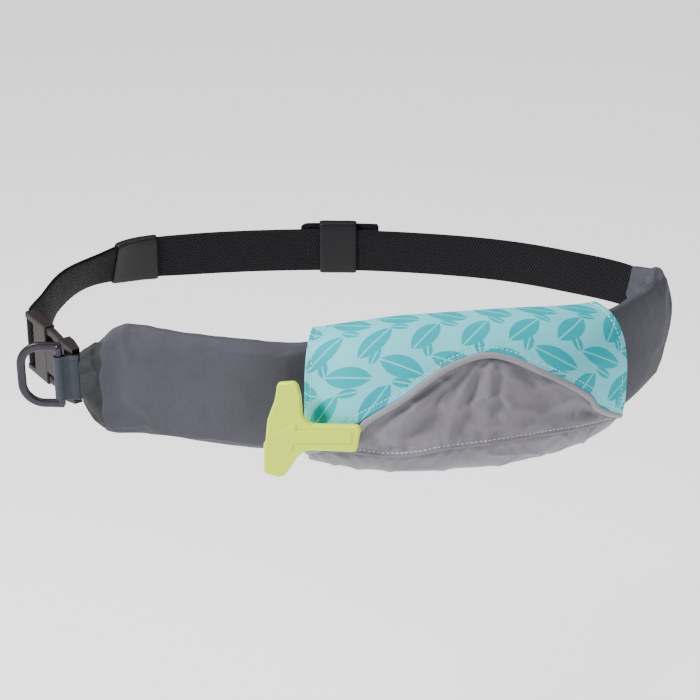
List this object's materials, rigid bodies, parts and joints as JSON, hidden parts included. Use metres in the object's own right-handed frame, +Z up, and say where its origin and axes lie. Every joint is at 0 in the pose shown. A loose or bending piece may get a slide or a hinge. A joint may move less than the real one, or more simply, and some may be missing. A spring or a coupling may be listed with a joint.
{
  "type": "inflatable belt pack",
  "caption": "Belt-worn inflatable pack: a webbing belt as a closed loop through a padded sleeve, with a cloth pouch, a T-shaped pull handle, a side-release buckle and a D-ring.",
  "frame": {"origin": "centre of the waist opening, at the middle height of the belt", "axes": "+X along the long way of the loop towards the wearer's left side as seen from the front, -Y towards the pouch, +Z up"},
  "size_m": [0.5141, 0.3409, 0.1183],
  "materials": {
    "sleeve_cloth": "soft matte neoprene-like cloth",
    "cuff_cloth": "matte cloth",
    "cover_cloth": "light grey woven cloth",
    "flap_cloth": null,
    "piping": "binding tape",
    "webbing": "black ribbed webbing",
    "keeper": "smooth coated fabric",
    "buckle_plastic": "matte dark plastic",
    "tab_cloth": "bluish grey cloth",
    "ring_metal": "satin gunmetal",
    "handle_plastic": "matte yellow-green plastic"
  },
  "bodies": {
    "pack": {"waist_pad": "sleeve_cloth", "pad_end_cuff": "cuff_cloth", "pouch_front_cover": "cover_cloth", "pouch_top_flap": "flap_cloth", "pouch_bottom_panel": "cover_cloth", "pouch_left_gusset": "cover_cloth", "pouch_right_gusset": "cover_cloth", "arch_piping": "piping", "waist_strap": "webbing", "keeper_left": "keeper", "keeper_middle": "keeper", "buckle_male": "buckle_plastic", "buckle_female": "buckle_plastic", "d_ring_tab": "tab_cloth", "jerk_handle": "handle_plastic", "handle_cord": "webbing"},
    "ring": {"d_ring": "ring_metal"}
  },
  "joints": [
    {"name": "d_ring_swing", "type": "hinge", "parent": "pack", "child": "ring", "pos_m": [-0.21779, -0.10341, 0], "axis": [0, 0, 1], "range_deg": [-50, 150]}
  ]
}
